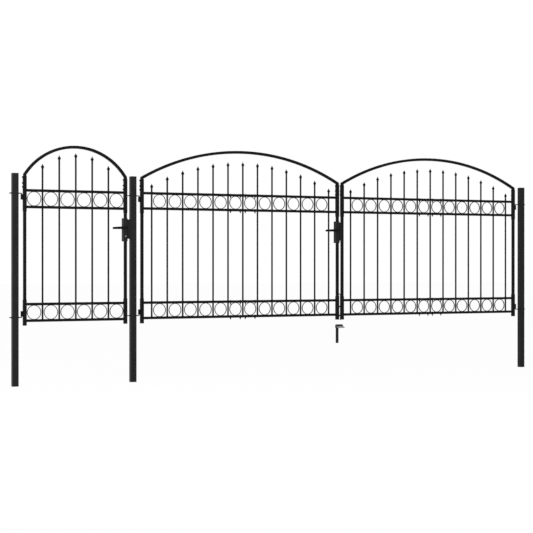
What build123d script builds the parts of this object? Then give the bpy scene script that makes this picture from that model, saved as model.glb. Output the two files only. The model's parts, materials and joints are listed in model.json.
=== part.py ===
"""A wrought iron driveway gate: a wicket and a two-leaf gate under arched tops, hung on three square posts.

The origin is the centre of the middle post's foot. X runs along the gate, Y through it and Z up. Millimetres.
"""

import os
from math import asin, copysign, cos, sin, sqrt

from build123d import *

# Posts: square tubes, closed by a foot plate and a push-in cap
post_side = 50
post_rise = 6
post_wall = 3
post_corner_radius = 4
foot_plate_thickness = 4
cap_thickness = 4
cap_plug_depth = 14
cap_clearance = 0.3

# Leaf frames: square stiles with a sleeve at each band of rails, and an arched head of the same tube
stile_side = 24
arch_spring_height = 1740
wicket_arch_rise = 240
leaf_arch_rise = 250
sleeve_wall = 2.5
upper_sleeve_drop = 12
upper_sleeve_length = 291
lower_sleeve_rise = 37.5
lower_sleeve_length = 214

# Bands of rails and rings, one low and one high on each leaf
rail_side = 22
top_rail_drop = 130
lower_band_height = 673.5
wicket_band_spacing = 136.4
leaf_band_spacing = 131
ring_wall = 4.5
ring_depth = 10
ring_sides = 16

# Pickets and their spearheads
picket_width = 15
picket_sides = 6
picket_pitch = 144
wicket_picket_count = 5
leaf_picket_count = 13
wicket_end_bay = 152
leaf_end_bay = 89.7
spear_width = 28
spear_thickness = 15
spear_flare_length = 16
spear_point_length = 26
spear_waist_shares = (0.42, 0.36, 0.6)
spear_tip_share = 0.1
wicket_spear_drop = 50
leaf_spear_drop = 85

# Hinges: threaded hooks through the posts, their bent ends in barrels on the hinge stiles
wicket_hinge_gap = 42.5
left_leaf_hinge_gap = 42.5
right_leaf_hinge_gap = 55
hook_diameter = 9
hook_bend_radius = 8
hook_tail_clearance = 6
hook_clearance = 0.3
barrel_diameter = 20
barrel_length = 44
upper_barrel_drop = 33
lower_barrel_drop = 56.5
pin_end_gap = 3

# Locks: a case in the lock stile, a lever on each face and a keeper across the gap
wicket_lock_gap = 31.5
meeting_gap = 26
case_width = 36
case_depth = 50
case_height = 197
case_rise = 81
case_corner_radius = 3
spindle_drop = 125
spindle_diameter = 9
spindle_clearance = 0.3
lever_neck_diameter = 20
lever_stand_off = 10
lever_thickness = 10
lever_height = 22
lever_length = 93
lever_droop = 2
lever_tip_share = 0.85
key_cylinder_diameter = 15
key_cylinder_drop = 72
key_cylinder_proud = 3
key_cylinder_clearance = 0.1
keeper_height = 165
keeper_rise = 71
keeper_depth = 40
keeper_clearance = 5.5
strike_slot_width = 18
strike_slot_margin = 26
strike_slot_depth = 12

# Drop bolt on the back of the right leaf's meeting stile
bolt_diameter = 12
bolt_clearance = 0.3
bolt_stub = 6
bolt_handle_rise = 18
bolt_handle_diameter = 10
bolt_handle_length = 40
guide_wall = 6
guide_width = 29
guide_length = 14
lower_guide_rise = 36
guide_spacing = 82

# Ground stop under the meeting stiles: a stake with a lip, and a sloping plate between two cheeks
stop_drop = 44
stop_height = 170
stop_width = 79
stop_plate = 6
stop_lip_height = 14
stop_corner_radius = 10
stop_clearance = 8
stop_leg_width = 27
stop_leg_offset = 21
cheek_thickness = 5
ramp_depth = 36
ramp_rise = 18
ramp_thickness = 5

# One overrun serves all cuts
overrun = 5

# Sizes that follow from those above
post_height = arch_spring_height + post_rise
sleeve_side = stile_side + 2 * sleeve_wall
top_rail_height = arch_spring_height - top_rail_drop
upper_sleeve_top_height = arch_spring_height - upper_sleeve_drop
upper_sleeve_foot_height = upper_sleeve_top_height - upper_sleeve_length
lower_sleeve_top_height = lower_band_height + lower_sleeve_rise
stile_foot_height = lower_sleeve_top_height - lower_sleeve_length
upper_barrel_height = top_rail_height - upper_barrel_drop - barrel_length
lower_barrel_height = lower_band_height - lower_barrel_drop - barrel_length
hook_tail = wicket_lock_gap - sleeve_wall - hook_tail_clearance
spindle_height = upper_sleeve_foot_height - spindle_drop
case_foot_height = spindle_height + case_rise - case_height
keeper_foot_height = spindle_height + keeper_rise - keeper_height
bolt_foot_height = stile_foot_height - bolt_stub
bolt_handle_height = lower_sleeve_top_height + bolt_handle_rise
lower_guide_height = stile_foot_height + lower_guide_rise
stop_top_height = stile_foot_height - stop_drop
ramp_top_height = stop_top_height - stop_lip_height
ramp_foot_height = ramp_top_height - ramp_rise
post_to_sleeve = post_side / 2 + sleeve_side / 2
wicket_width = (wicket_picket_count - 1) * picket_pitch + 2 * wicket_end_bay
leaf_width = (leaf_picket_count - 1) * picket_pitch + 2 * leaf_end_bay
wicket_lock_side = stile_side / 2 + wicket_lock_gap + post_side / 2
left_post_x = -(post_to_sleeve + wicket_hinge_gap + wicket_width + wicket_lock_side)
middle_post_x = 0
meeting_x = post_to_sleeve + left_leaf_hinge_gap + leaf_width + stile_side / 2 + meeting_gap / 2
right_hinge_stile_x = meeting_x + meeting_gap / 2 + stile_side / 2 + leaf_width
right_post_x = right_hinge_stile_x + right_leaf_hinge_gap + post_to_sleeve


def span(middle, size):
    """The low and high ends of a size laid about a middle."""
    return (middle - size / 2, middle + size / 2)


def block(x_span, y_span, z_span):
    """A box between the two ends of each span, given in any order."""
    spans = (x_span, y_span, z_span)
    middles = [(first + last) / 2 for first, last in spans]
    sizes = [abs(last - first) for first, last in spans]
    return Pos(*middles) * Box(*sizes)


def upright(diameter, x, y, z_span):
    """A round bar standing along Z."""
    low, high = z_span
    return Pos(x, y, (low + high) / 2) * Cylinder(diameter / 2, abs(high - low))


def crossbar(diameter, x_span, y, z):
    """A round bar lying along X."""
    low, high = x_span
    return Pos((low + high) / 2, y, z) * Rot(0, 90, 0) * Cylinder(diameter / 2, abs(high - low))


def through_bar(diameter, x, y_span, z):
    """A round bar lying along Y."""
    low, high = y_span
    return Pos(x, (low + high) / 2, z) * Rot(90, 0, 0) * Cylinder(diameter / 2, abs(high - low))


def save(name, *solids):
    """Writes one node, of one solid or of several that don't touch."""
    export_step(solids[0] if len(solids) == 1 else Compound(children=list(solids)), f"parts/{name}.step")


class Leaf:
    """One swinging leaf: its hinge post, which way it reaches from there, and its own proportions."""

    def __init__(self, name, post_x, reach, hinge_gap, proportions):
        picket_count, end_bay, arch_rise, spear_drop, band_spacing = proportions
        self.name = name
        self.post_x = post_x
        self.reach = reach
        self.picket_count = picket_count
        self.end_bay = end_bay
        self.spear_drop = spear_drop
        self.band_spacing = band_spacing
        self.width = (picket_count - 1) * picket_pitch + 2 * end_bay
        self.hinge_stile_x = post_x + reach * (post_to_sleeve + hinge_gap)
        self.pin_x = self.hinge_stile_x - reach * (sleeve_side / 2 + barrel_diameter / 2)
        self.free_stile_x = self.hinge_stile_x + reach * self.width
        self.middle_x = (self.hinge_stile_x + self.free_stile_x) / 2
        self.arch_radius = (self.width**2 / 4 + arch_rise**2) / (2 * arch_rise)
        self.arch_centre_height = arch_spring_height + arch_rise - self.arch_radius

    def picket_places(self):
        """The X of each picket, from the hinge stile out."""
        first = self.hinge_stile_x + self.reach * self.end_bay
        return [first + self.reach * picket_pitch * step for step in range(self.picket_count)]

    def ring_places(self):
        """The X of each ring of a band: between pickets, and in the end bays where a ring has room."""
        places = self.picket_places()
        middles = [(near + far) / 2 for near, far in zip(places, places[1:])]
        if self.end_bay - sleeve_side / 2 - picket_width / 2 < self.band_spacing - rail_side:
            return middles
        hinge_face = self.hinge_stile_x + self.reach * sleeve_side / 2
        free_face = self.free_stile_x - self.reach * sleeve_side / 2
        return [(hinge_face + places[0]) / 2, *middles, (places[-1] + free_face) / 2]

    def mitre(self, stile_x):
        """The plane where the arch meets a stile, with its normal towards the arch."""
        inward = copysign(1, self.middle_x - stile_x)
        slope = asin(self.width / 2 / self.arch_radius)
        normal = (inward * (1 - sin(slope)), 0, cos(slope))
        return Plane(origin=(stile_x, 0, arch_spring_height), z_dir=normal)


def post(x, leaf_hooks):
    """A post tube with holes for the hooks that pass through it."""
    outside = extrude(Pos(x) * RectangleRounded(post_side, post_side, post_corner_radius), post_height)
    bore_side = post_side - 2 * post_wall
    bore = block(span(x, bore_side), span(0, bore_side), (foot_plate_thickness, post_height + overrun))
    hole_diameter = hook_diameter + 2 * hook_clearance
    hole_span = span(x, post_side + 2 * overrun)
    holes = [crossbar(hole_diameter, hole_span, 0, height) for height in leaf_hooks]
    return outside - bore - holes


def post_cap(x):
    """A flat cap with a plug that enters the tube."""
    plug_side = post_side - 2 * post_wall - 2 * cap_clearance
    outline = Pos(x, 0, post_height) * RectangleRounded(post_side, post_side, post_corner_radius)
    plate = extrude(outline, cap_thickness)
    plug = block(span(x, plug_side), span(0, plug_side), (post_height - cap_plug_depth, post_height))
    return plate + plug


def hook_heights():
    """The height of each hook's rod: under the lower barrel and over the upper one."""
    lower = lower_barrel_height - hook_bend_radius
    upper = upper_barrel_height + barrel_length + hook_bend_radius
    return lower, upper


def hinge_hook(leaf, rod_height, pin_end_height):
    """A rod through the post whose end is bent into the hinge's pin."""
    tail_x = leaf.post_x - leaf.reach * (post_side / 2 + hook_tail)
    tail = (tail_x, 0, rod_height)
    corner = (leaf.pin_x, 0, rod_height)
    path = FilletPolyline(tail, corner, (leaf.pin_x, 0, pin_end_height), radius=hook_bend_radius)
    section = Plane(origin=tail, z_dir=(leaf.reach, 0, 0)) * Circle(hook_diameter / 2)
    return sweep(section, path=path)


def hinge_hooks(leaf):
    """The lower hook points up into its barrel and the upper one points down."""
    lower, upper = hook_heights()
    lower_end = lower_barrel_height + barrel_length - pin_end_gap
    upper_end = upper_barrel_height + pin_end_gap
    return hinge_hook(leaf, lower, lower_end), hinge_hook(leaf, upper, upper_end)


def hinge_barrel(leaf, foot_height):
    """A short tube on the outer face of the hinge stile's sleeve."""
    z_span = (foot_height, foot_height + barrel_length)
    bore_span = (foot_height - overrun, foot_height + barrel_length + overrun)
    bore_diameter = hook_diameter + 2 * hook_clearance
    return upright(barrel_diameter, leaf.pin_x, 0, z_span) - upright(bore_diameter, leaf.pin_x, 0, bore_span)


def stile(leaf, x, case_gap):
    """A stile up to the arch's mitre, parted where a lock case sits in it."""
    top = arch_spring_height + stile_side
    whole = block(span(x, stile_side), span(0, stile_side), (stile_foot_height, top))
    bar = split(whole, bisect_by=leaf.mitre(x), keep=Keep.BOTTOM)
    if not case_gap:
        return [bar]
    case_span = (case_foot_height, case_foot_height + case_height)
    cut_side = stile_side + 2 * overrun
    return (bar - block(span(x, cut_side), span(0, cut_side), case_span)).solids()


def sleeve(x, z_span):
    """A square sleeve over a stile."""
    outside = block(span(x, sleeve_side), span(0, sleeve_side), z_span)
    low, high = z_span
    return outside - block(span(x, stile_side), span(0, stile_side), (low - overrun, high + overrun))


def sleeves(leaf):
    """The lower and upper sleeve of each stile."""
    lower = (stile_foot_height, stile_foot_height + lower_sleeve_length)
    upper = (upper_sleeve_foot_height, upper_sleeve_top_height)
    return [sleeve(x, z_span) for x in (leaf.hinge_stile_x, leaf.free_stile_x) for z_span in (lower, upper)]


def arch(leaf):
    """The arched head, mitred onto both stiles."""
    centre = Plane.XZ * Pos(leaf.middle_x, leaf.arch_centre_height)
    hoop = centre * (Circle(leaf.arch_radius + stile_side / 2) - Circle(leaf.arch_radius - stile_side / 2))
    bar = extrude(hoop, stile_side / 2, both=True)
    for stile_x in (leaf.hinge_stile_x, leaf.free_stile_x):
        bar = split(bar, bisect_by=leaf.mitre(stile_x), keep=Keep.TOP)
    return bar


def picket_bar(x, z_span):
    """The plain length of a picket, a bar of few sides with a flat to the front."""
    low, high = z_span
    turn = 180 / picket_sides
    section = RegularPolygon(picket_width / 2, picket_sides, major_radius=False, rotation=turn)
    return extrude(Pos(x, 0, low) * section, high - low)


def rail(leaf, height, punched):
    """A rail between the sleeves, punched where the pickets pass through."""
    near = leaf.hinge_stile_x + leaf.reach * sleeve_side / 2
    far = leaf.free_stile_x - leaf.reach * sleeve_side / 2
    bar = block((near, far), span(0, rail_side), span(height, rail_side))
    if not punched:
        return bar
    hole_span = span(height, rail_side + 2 * overrun)
    return bar - [picket_bar(x, hole_span) for x in leaf.picket_places()]


def ring(leaf, x, height):
    """A ring of flat strip that fills the space between two rails, with flats where it is welded to them."""
    inscribed = (leaf.band_spacing - rail_side) / 2
    turn = 90 + 180 / ring_sides
    outside = RegularPolygon(inscribed, ring_sides, major_radius=False, rotation=turn)
    inside = RegularPolygon(inscribed - ring_wall, ring_sides, major_radius=False, rotation=turn)
    strip = Plane.XZ * Pos(x, height) * (outside - inside)
    return extrude(strip, ring_depth / 2, both=True)


def band(leaf, high_height, low_punched):
    """Two rails with their row of rings, welded into one piece."""
    high_rail = rail(leaf, high_height, True)
    low_rail = rail(leaf, high_height - leaf.band_spacing, low_punched)
    rings = [ring(leaf, x, high_height - leaf.band_spacing / 2) for x in leaf.ring_places()]
    return high_rail.fuse(low_rail, *rings)


def spearhead(x, tip_height):
    """A flattened point that flares from the picket and draws in to its tip."""
    waist_height_share, waist_width_share, waist_thickness_share = spear_waist_shares
    wide_height = tip_height - spear_point_length
    waist_height = wide_height + waist_height_share * spear_point_length
    sections = [
        (wide_height - spear_flare_length, picket_width, picket_width),
        (wide_height, spear_width, spear_thickness),
        (waist_height, waist_width_share * spear_width, waist_thickness_share * spear_thickness),
        (tip_height, spear_tip_share * spear_width, spear_tip_share * spear_thickness),
    ]
    return loft([Pos(x, 0, height) * Rectangle(wide, thick) for height, wide, thick in sections], ruled=True)


def picket(leaf, x):
    """A picket from the bottom rail up to its spearhead, whose tip follows the arch."""
    spear_radius = leaf.arch_radius - leaf.spear_drop
    tip_height = leaf.arch_centre_height + sqrt(spear_radius**2 - (x - leaf.middle_x) ** 2)
    foot_height = lower_band_height - leaf.band_spacing + rail_side / 2
    neck_height = tip_height - spear_point_length - spear_flare_length
    return picket_bar(x, (foot_height, neck_height)) + spearhead(x, tip_height)


def case_span(leaf):
    """The lock case's ends along X: flush with the free stile's outer face, and inwards from there."""
    outer = leaf.free_stile_x + leaf.reach * stile_side / 2
    return outer, outer - leaf.reach * case_width


def spindle_x(leaf):
    """The lever's axis, in the middle of the case."""
    outer, inner = case_span(leaf)
    return (outer + inner) / 2


def lock_case(leaf):
    """The lock's closed case, bored for the levers' spindle and the key cylinder."""
    z_span = (case_foot_height, case_foot_height + case_height)
    through = span(0, case_depth + 2 * overrun)
    x = spindle_x(leaf)
    spindle_bore = through_bar(spindle_diameter + 2 * spindle_clearance, x, through, spindle_height)
    key_diameter = key_cylinder_diameter + 2 * key_cylinder_clearance
    key_bore = through_bar(key_diameter, x, through, spindle_height - key_cylinder_drop)
    body = block(case_span(leaf), span(0, case_depth), z_span)
    return fillet(body.edges().filter_by(Axis.Z), case_corner_radius) - [spindle_bore, key_bore]


def key_cylinder(leaf):
    """The key cylinder, standing a little proud of both faces of the case."""
    length = case_depth + 2 * key_cylinder_proud
    height = spindle_height - key_cylinder_drop
    return through_bar(key_cylinder_diameter, spindle_x(leaf), span(0, length), height)


def lever_arm(leaf, face):
    """One lever: a neck on the case's face and an arm that droops towards its rounded tip."""
    x = spindle_x(leaf)
    case_face = face * case_depth / 2
    arm_face = case_face + face * lever_stand_off
    arm_middle = arm_face + face * lever_thickness / 2
    neck_span = (case_face + face * spindle_clearance, arm_face)
    neck = through_bar(lever_neck_diameter, x, neck_span, spindle_height)
    tip_height = lever_tip_share * lever_height
    root_x = lever_neck_diameter / 2
    tip_x = -(lever_length - tip_height / 2)
    top = Spline(
        (root_x, lever_height / 2),
        (tip_x, tip_height / 2 - lever_droop),
        tangents=((-1, 0), (-lever_length, -2 * lever_droop)),
    )
    tip = JernArc(top @ 1, top % 1, tip_height / 2, 180)
    under = Spline(
        tip @ 1,
        (root_x, -lever_height / 2),
        tangents=((lever_length, 2 * lever_droop), (1, 0)),
    )
    outline = make_face(top + tip + under + Line(under @ 1, top @ 0))
    axis_point = (x, arm_middle, spindle_height)
    arm_plane = Plane(origin=axis_point, x_dir=(leaf.reach, 0, 0), z_dir=(0, -leaf.reach, 0))
    return neck + extrude(arm_plane * outline, lever_thickness / 2, both=True)


def lever(leaf):
    """The two levers on their common spindle."""
    reach = case_depth / 2 + lever_stand_off
    spindle = through_bar(spindle_diameter, spindle_x(leaf), (-reach, reach), spindle_height)
    return spindle.fuse(lever_arm(leaf, -1), lever_arm(leaf, 1))


def keeper(seat_x, reach, gap):
    """A keeper that fills the gap beside a lock but for its clearance, with a slot for the latch."""
    face_x = seat_x + reach * (gap - keeper_clearance)
    z_span = (keeper_foot_height, keeper_foot_height + keeper_height)
    body = block((seat_x, face_x), span(0, keeper_depth), z_span)
    slot_x = (face_x - reach * strike_slot_depth, face_x + reach * overrun)
    slot_z = (z_span[0] + strike_slot_margin, z_span[1] - strike_slot_margin)
    return body - block(slot_x, span(0, strike_slot_width), slot_z)


def bolt_axis_y():
    """The drop bolt's axis, behind the sleeve by a guide's wall."""
    return sleeve_side / 2 + guide_wall + bolt_diameter / 2


def bolt_guide(x, height):
    """A block on the back of the sleeve, bored for the drop bolt."""
    back = bolt_axis_y() + bolt_diameter / 2 + guide_wall
    body = block(span(x, guide_width), (sleeve_side / 2, back), span(height, guide_length))
    bore_diameter = bolt_diameter + 2 * bolt_clearance
    bore_span = span(height, guide_length + 2 * overrun)
    return body - upright(bore_diameter, x, bolt_axis_y(), bore_span)


def drop_bolt(x):
    """The bolt's rod with a cross handle at its head."""
    rod = upright(bolt_diameter, x, bolt_axis_y(), (bolt_foot_height, bolt_handle_height))
    handle_span = span(x, bolt_handle_length)
    return rod + crossbar(bolt_handle_diameter, handle_span, bolt_axis_y(), bolt_handle_height)


def lip_back_y():
    """The back of the ground stop's lip, clear of the dropped bolt."""
    return bolt_axis_y() - bolt_diameter / 2 - stop_clearance


def side_slab(x, width, *corners):
    """A slab of a width about x, with its side outline given by corners of Y and Z."""
    side = Plane(origin=(x, 0, 0), x_dir=(0, 1, 0), z_dir=(1, 0, 0))
    return extrude(side * make_face(Polyline(*corners, close=True)), width / 2, both=True)


def ground_stop():
    """A stake under a lip with two cheeks, standing by itself in front of the dropped bolt."""
    seat_y = lip_back_y() - stop_plate
    depth = (seat_y, lip_back_y())
    plate = block(span(meeting_x, stop_width), depth, (ramp_foot_height, stop_top_height))
    plate = fillet(plate.edges().filter_by(Axis.Y).group_by(Axis.Z)[-1], stop_corner_radius)
    leg_span = span(meeting_x - stop_leg_offset, stop_leg_width)
    leg = block(leg_span, depth, (stop_top_height - stop_height, ramp_foot_height))
    corners = ((seat_y, ramp_top_height), (seat_y, ramp_foot_height), (seat_y - ramp_depth, ramp_foot_height))
    cheek_places = span(meeting_x, stop_width - cheek_thickness)
    return plate.fuse(leg, *[side_slab(x, cheek_thickness, *corners) for x in cheek_places])


def stop_ramp():
    """The sloping plate between the ground stop's cheeks."""
    seat_y = lip_back_y() - stop_plate
    under_share = 1 - ramp_thickness / ramp_rise
    corners = (
        (seat_y, ramp_top_height),
        (seat_y, ramp_top_height - ramp_thickness),
        (seat_y - under_share * ramp_depth, ramp_foot_height),
        (seat_y - ramp_depth, ramp_foot_height),
    )
    return side_slab(meeting_x, stop_width - 2 * cheek_thickness, *corners)


def build_posts(wicket, left_leaf, right_leaf):
    """The posts with their caps, and the hooks that each leaf hangs on."""
    for name, x in (("left", left_post_x), ("middle", middle_post_x), ("right", right_post_x)):
        save(f"{name}_post", post(x, hook_heights()))
        save(f"{name}_post_cap", post_cap(x))
    for leaf in (wicket, left_leaf, right_leaf):
        save(f"{leaf.name}_hinge_hooks", *hinge_hooks(leaf))


def build_leaf(leaf, free_stile_name, has_lock):
    """The welded frame and grille that all three leaves share."""
    save(f"{leaf.name}_hinge_stile", *stile(leaf, leaf.hinge_stile_x, False))
    save(f"{leaf.name}_{free_stile_name}", *stile(leaf, leaf.free_stile_x, has_lock))
    save(f"{leaf.name}_sleeves", *sleeves(leaf))
    save(f"{leaf.name}_arch", arch(leaf))
    save(f"{leaf.name}_top_band", band(leaf, top_rail_height, True))
    save(f"{leaf.name}_bottom_band", band(leaf, lower_band_height, False))
    save(f"{leaf.name}_pickets", *[picket(leaf, x) for x in leaf.picket_places()])
    barrels = [hinge_barrel(leaf, height) for height in (lower_barrel_height, upper_barrel_height)]
    save(f"{leaf.name}_hinge_barrels", *barrels)


def build_lock(leaf):
    """The lock case with its key cylinder and levers."""
    save(f"{leaf.name}_lock_case", lock_case(leaf))
    save(f"{leaf.name}_key_cylinder", key_cylinder(leaf))
    save(f"{leaf.name}_lever", lever(leaf))


def main():
    """Writes every node."""
    os.makedirs("parts", exist_ok=True)
    wicket_bays = (wicket_picket_count, wicket_end_bay)
    wicket_own = (*wicket_bays, wicket_arch_rise, wicket_spear_drop, wicket_band_spacing)
    leaf_own = (leaf_picket_count, leaf_end_bay, leaf_arch_rise, leaf_spear_drop, leaf_band_spacing)
    wicket = Leaf("wicket", left_post_x, 1, wicket_hinge_gap, wicket_own)
    left_leaf = Leaf("left_leaf", middle_post_x, 1, left_leaf_hinge_gap, leaf_own)
    right_leaf = Leaf("right_leaf", right_post_x, -1, right_leaf_hinge_gap, leaf_own)
    build_posts(wicket, left_leaf, right_leaf)
    build_leaf(wicket, "lock_stile", True)
    build_leaf(left_leaf, "lock_stile", True)
    build_leaf(right_leaf, "meeting_stile", False)
    build_lock(wicket)
    build_lock(left_leaf)
    save("wicket_keeper", keeper(middle_post_x - post_side / 2, -1, wicket_lock_gap))
    meeting_face = right_leaf.free_stile_x + right_leaf.reach * stile_side / 2
    save("right_leaf_keeper", keeper(meeting_face, right_leaf.reach, meeting_gap))
    guide_heights = (lower_guide_height, lower_guide_height + guide_spacing)
    guides = [bolt_guide(right_leaf.free_stile_x, height) for height in guide_heights]
    save("drop_bolt_guides", *guides)
    save("drop_bolt", drop_bolt(right_leaf.free_stile_x))
    save("ground_stop", ground_stop())
    save("ground_stop_ramp", stop_ramp())


main()
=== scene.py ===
"""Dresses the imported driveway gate: its frames, grilles, hinges, bolts, locks and posts, and their finishes.

It stands on a white studio floor and is seen as in the photograph.
"""

import json
import math

import bmesh
import bpy
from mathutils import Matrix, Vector


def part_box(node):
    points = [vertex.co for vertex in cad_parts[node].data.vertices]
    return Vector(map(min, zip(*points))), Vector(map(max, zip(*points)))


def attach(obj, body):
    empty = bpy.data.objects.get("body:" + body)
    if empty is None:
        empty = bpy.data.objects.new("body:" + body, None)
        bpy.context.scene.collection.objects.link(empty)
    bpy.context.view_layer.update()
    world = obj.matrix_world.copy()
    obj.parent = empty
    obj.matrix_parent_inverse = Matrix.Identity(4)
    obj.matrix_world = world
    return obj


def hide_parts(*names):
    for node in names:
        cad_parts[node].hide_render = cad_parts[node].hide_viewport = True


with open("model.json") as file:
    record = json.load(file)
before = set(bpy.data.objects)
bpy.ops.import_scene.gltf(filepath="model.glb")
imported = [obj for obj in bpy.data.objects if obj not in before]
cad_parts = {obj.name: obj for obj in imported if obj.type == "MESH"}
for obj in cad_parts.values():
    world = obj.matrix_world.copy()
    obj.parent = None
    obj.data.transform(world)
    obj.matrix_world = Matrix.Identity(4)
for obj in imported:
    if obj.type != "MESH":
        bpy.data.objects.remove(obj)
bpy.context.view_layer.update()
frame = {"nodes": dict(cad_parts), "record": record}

# Sizes in metres, as the solids have them
post_side = 0.050
stile_side = 0.024
sleeve_wall = 0.0025
lower_sleeve_length = 0.214
upper_sleeve_length = 0.291
arch_spring_height = 1.740
rail_side = 0.022
ring_wall = 0.0045
ring_depth = 0.010
picket_diameter = 0.015
picket_pitch = 0.144
spear_width = 0.028
spear_thickness = 0.015
hook_diameter = 0.009
hook_bend_radius = 0.008
barrel_length = 0.044
pin_end_gap = 0.003
spindle_height = 1.312
lever_height = 0.022
lever_tip_height = 0.0187
lever_thickness = 0.010
lever_length = 0.093
lever_droop = 0.002
lever_stand_off = 0.010
lever_neck_radius = 0.010
guide_length = 0.014
bolt_diameter = 0.012
bolt_handle_diameter = 0.010
stop_plate = 0.006
stop_lip_height = 0.014
stop_corner_radius = 0.010
stop_leg_width = 0.027
stop_leg_offset = 0.021
cheek_thickness = 0.005
ramp_rise = 0.018
ramp_thickness = 0.005

# Tube corners, eased edges and how finely round forms are drawn
stile_corner = 0.0025
sleeve_corner = 0.0032
rail_corner = 0.0022
small_ease = 0.0007
plate_ease = 0.0010
corner_steps = 3
arch_steps = 56
weld_steps = 10
screw_steps = 16
round_steps = 20
rod_steps = 28
tube_steps = 32
nut_steps = 36
ring_steps = 56
smooth_angle = math.radians(38)
crease_angle = math.radians(30)
slot_squareness = 0.35

along_x = Vector((1, 0, 0))
along_y = Vector((0, 1, 0))
along_z = Vector((0, 0, 1))


# Shader wiring
class Wire:
    """An output socket of a material's nodes. Arithmetic on it adds Math nodes."""

    def __init__(self, tree, socket=None):
        self.tree = tree
        self.socket = socket

    def add(self, kind, settings=None, inputs=None, output=0):
        """A new node: its settings first, then the values or links of its sockets."""
        node = self.tree.nodes.new(kind)
        for name, value in (settings or {}).items():
            setattr(node, name, value)
        for name, value in (inputs or {}).items():
            if isinstance(value, Wire):
                self.tree.links.new(value.socket, node.inputs[name])
            else:
                node.inputs[name].default_value = value
        return Wire(self.tree, node.outputs[output] if node.outputs else None)

    def maths(self, operation, first, second):
        return self.add("ShaderNodeMath", {"operation": operation}, {0: first, 1: second})

    def __add__(self, other):
        return self.maths("ADD", self, other)

    def __radd__(self, other):
        return self.maths("ADD", other, self)

    def __sub__(self, other):
        return self.maths("SUBTRACT", self, other)

    def __rsub__(self, other):
        return self.maths("SUBTRACT", other, self)

    def __mul__(self, other):
        return self.maths("MULTIPLY", self, other)

    def __rmul__(self, other):
        return self.maths("MULTIPLY", other, self)


def start_finish(name):
    """A new material with an empty tree, and a wire to build it from."""
    material = bpy.data.materials.new(name)
    material.use_nodes = True
    material.node_tree.nodes.clear()
    return material, Wire(material.node_tree)


def end_finish(wire, shader):
    wire.add("ShaderNodeOutputMaterial", None, {"Surface": shader})


def place_on_piece(wire):
    """Where a point lies on its piece, in metres."""
    return wire.add("ShaderNodeTexCoord", output="Object")


def speckle(wire, scale, detail, roughness=0.5):
    """A soft random pattern whose grains are about one part in scale of a metre."""
    inputs = {"Vector": place_on_piece(wire), "Scale": scale, "Detail": detail, "Roughness": roughness}
    return wire.add("ShaderNodeTexNoise", None, inputs)


def stepped(wire, value, low, high):
    """A value stretched so that low becomes 0 and high becomes 1, and held between them."""
    inputs = {"Value": value, "From Min": low, "From Max": high}
    return wire.add("ShaderNodeMapRange", {"clamp": True}, inputs)


def facing_up(wire):
    """How far the surface looks to the sky, from 0 to 1."""
    normal = wire.add("ShaderNodeNewGeometry", output="Normal")
    upward = wire.add("ShaderNodeSeparateXYZ", None, {"Vector": normal}, "Z")
    return stepped(wire, upward, low=0.3, high=1.0)


blue_trace = 1.04


def grey(level):
    """A neutral black or grey with a trace of blue."""
    return (level, level, blue_trace * level, 1)


def blend_greys(wire, share, first, second):
    """A mix of two grey levels by a share."""
    inputs = {0: share, 6: grey(first), 7: grey(second)}
    return wire.add("ShaderNodeMix", {"data_type": "RGBA"}, inputs, output=2)


def bumped(wire, height, strength, distance):
    """A surface normal raised by a height pattern."""
    inputs = {"Height": height, "Strength": strength, "Distance": distance}
    return wire.add("ShaderNodeBump", None, inputs)


def coated_steel(name, dark, pale, base_roughness, peel_strength, gloss):
    """Powder coat: fine orange peel, cloudy roughness, and a trace of dust on what faces up."""
    material, wire = start_finish(name)
    cloud = speckle(wire, scale=7, detail=4)
    peel = speckle(wire, scale=700, detail=2)
    dust = facing_up(wire) * speckle(wire, scale=60, detail=5, roughness=0.7)
    shade = stepped(wire, cloud * 0.5 + dust * 0.5, low=0.2, high=0.75)
    inputs = {
        "Base Color": blend_greys(wire, shade, dark, pale),
        "Roughness": base_roughness + 0.14 * (cloud - 0.5) + 0.22 * dust,
        "Specular IOR Level": gloss,
        "Normal": bumped(wire, peel + 0.6 * cloud, peel_strength, distance=0.0004),
    }
    end_finish(wire, wire.add("ShaderNodeBsdfPrincipled", None, inputs))
    return material


def moulded_plastic(name, dark, pale):
    """Matt moulded plastic with a spark-eroded grain and scuffs."""
    material, wire = start_finish(name)
    grain = speckle(wire, scale=1100, detail=3)
    scuffs = stepped(wire, speckle(wire, scale=45, detail=6, roughness=0.75), low=0.55, high=0.8)
    inputs = {
        "Base Color": blend_greys(wire, scuffs, dark, pale),
        "Roughness": 0.52 + 0.12 * grain + 0.1 * scuffs,
        "Specular IOR Level": 0.2,
        "Normal": bumped(wire, grain, strength=0.35, distance=0.0003),
    }
    end_finish(wire, wire.add("ShaderNodeBsdfPrincipled", None, inputs))
    return material


def plated_steel(name, dark, pale, base_roughness):
    """Plated steel: metal with mottled plating and bright rubbed spots."""
    material, wire = start_finish(name)
    mottle = speckle(wire, scale=160, detail=5, roughness=0.65)
    rubbed = stepped(wire, speckle(wire, scale=38, detail=6, roughness=0.7), low=0.5, high=0.78)
    inputs = {
        "Base Color": blend_greys(wire, rubbed, dark, pale),
        "Metallic": 0.9,
        "Roughness": base_roughness + 0.2 * mottle - 0.1 * rubbed,
        "Normal": bumped(wire, mottle, strength=0.2, distance=0.0002),
    }
    end_finish(wire, wire.add("ShaderNodeBsdfPrincipled", None, inputs))
    return material


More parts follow.
